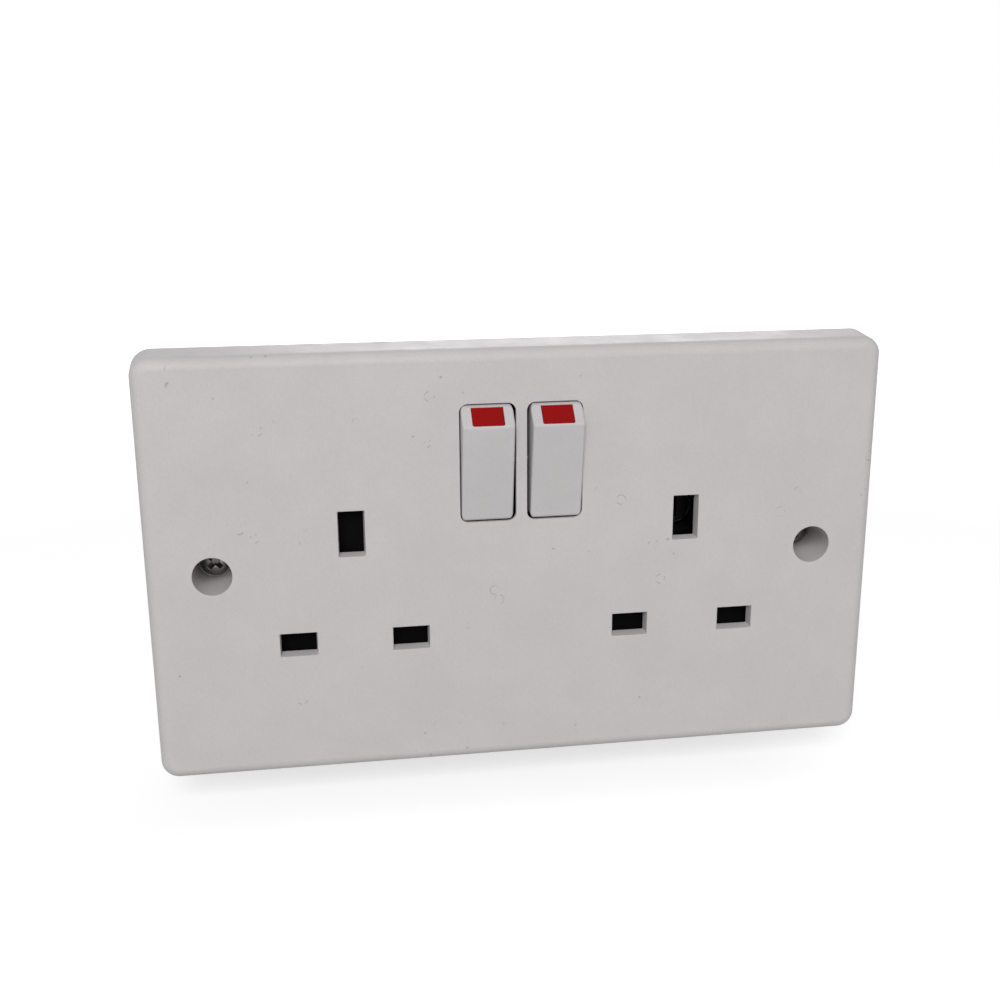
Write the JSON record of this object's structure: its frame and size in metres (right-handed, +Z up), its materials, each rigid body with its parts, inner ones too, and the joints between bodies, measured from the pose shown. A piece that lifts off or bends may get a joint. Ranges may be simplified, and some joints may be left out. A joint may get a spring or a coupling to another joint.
{
  "type": "outlet diversion safe",
  "caption": "Wall safe disguised as a double switched socket outlet; the plate is a bottom-hinged door, locked by a cam keyed through an earth slot.",
  "frame": {"origin": "on the face of the wall, behind the middle of the socket plate, on the line of the two face screws", "axes": "+X along the plate to the right as seen from the room, +Y into the wall, +Z up"},
  "size_m": [0.147, 0.0575, 0.0858],
  "materials": {
    "plate_plastic": "white, semi-gloss moulded",
    "rocker_plastic": "white, semi-gloss moulded",
    "box_plastic": "white, fine spark texture",
    "cover_plastic": "white, fine spark texture",
    "black_plastic": "black, satin",
    "red_plastic": "deep red, flush insert",
    "nickel_plate": "bright nickel plate, slightly worn",
    "zinc_steel": "zinc-plated pressed steel",
    "dark_zinc": "blackened die casting"
  },
  "bodies": {
    "box": {"wall_box": "box_plastic", "keeper_plate": "zinc_steel", "keeper_rivet_left": "zinc_steel", "keeper_rivet_right": "zinc_steel", "hinge_pin_left": "zinc_steel", "hinge_pin_right": "zinc_steel"},
    "door": {"faceplate": "plate_plastic", "inner_cover": "cover_plastic", "cover_screw_upper_left": "zinc_steel", "cover_screw_upper_right": "zinc_steel", "cover_screw_lower_left": "zinc_steel", "cover_screw_lower_right": "zinc_steel", "face_screw_left": "nickel_plate", "face_screw_right": "nickel_plate", "slot_backing_left": "black_plastic", "slot_backing_right": "black_plastic", "switch_carrier": "black_plastic", "rocker_pin_left": "zinc_steel", "rocker_pin_right": "zinc_steel", "detent_spring_left": "zinc_steel", "detent_spring_right": "zinc_steel", "lock_housing": "dark_zinc", "lock_nut": "nickel_plate"},
    "lock_core": {"lock_plug": "nickel_plate", "lock_cam": "zinc_steel", "cam_screw": "zinc_steel"},
    "left_switch": {"rocker_left": "rocker_plastic", "indicator_left": "red_plastic"},
    "right_switch": {"rocker_right": "rocker_plastic", "indicator_right": "red_plastic"}
  },
  "joints": [
    {"name": "door_hinge", "type": "hinge", "parent": "box", "child": "door", "pos_m": [0, -0.004, -0.0391], "axis": [1, 0, 0], "range_deg": [0, 90]},
    {"name": "lock_turn", "type": "hinge", "parent": "door", "child": "lock_core", "pos_m": [0.0334, 0, 0.00715], "axis": [0, 1, 0], "range_deg": [0, 90]},
    {"name": "left_rocker_tilt", "type": "hinge", "parent": "door", "child": "left_switch", "pos_m": [-0.0066, -0.0052, 0.02007], "axis": [-1, 0, 0], "range_deg": [0, 12]},
    {"name": "right_rocker_tilt", "type": "hinge", "parent": "door", "child": "right_switch", "pos_m": [0.0066, -0.0052, 0.02007], "axis": [-1, 0, 0], "range_deg": [0, 12]}
  ]
}
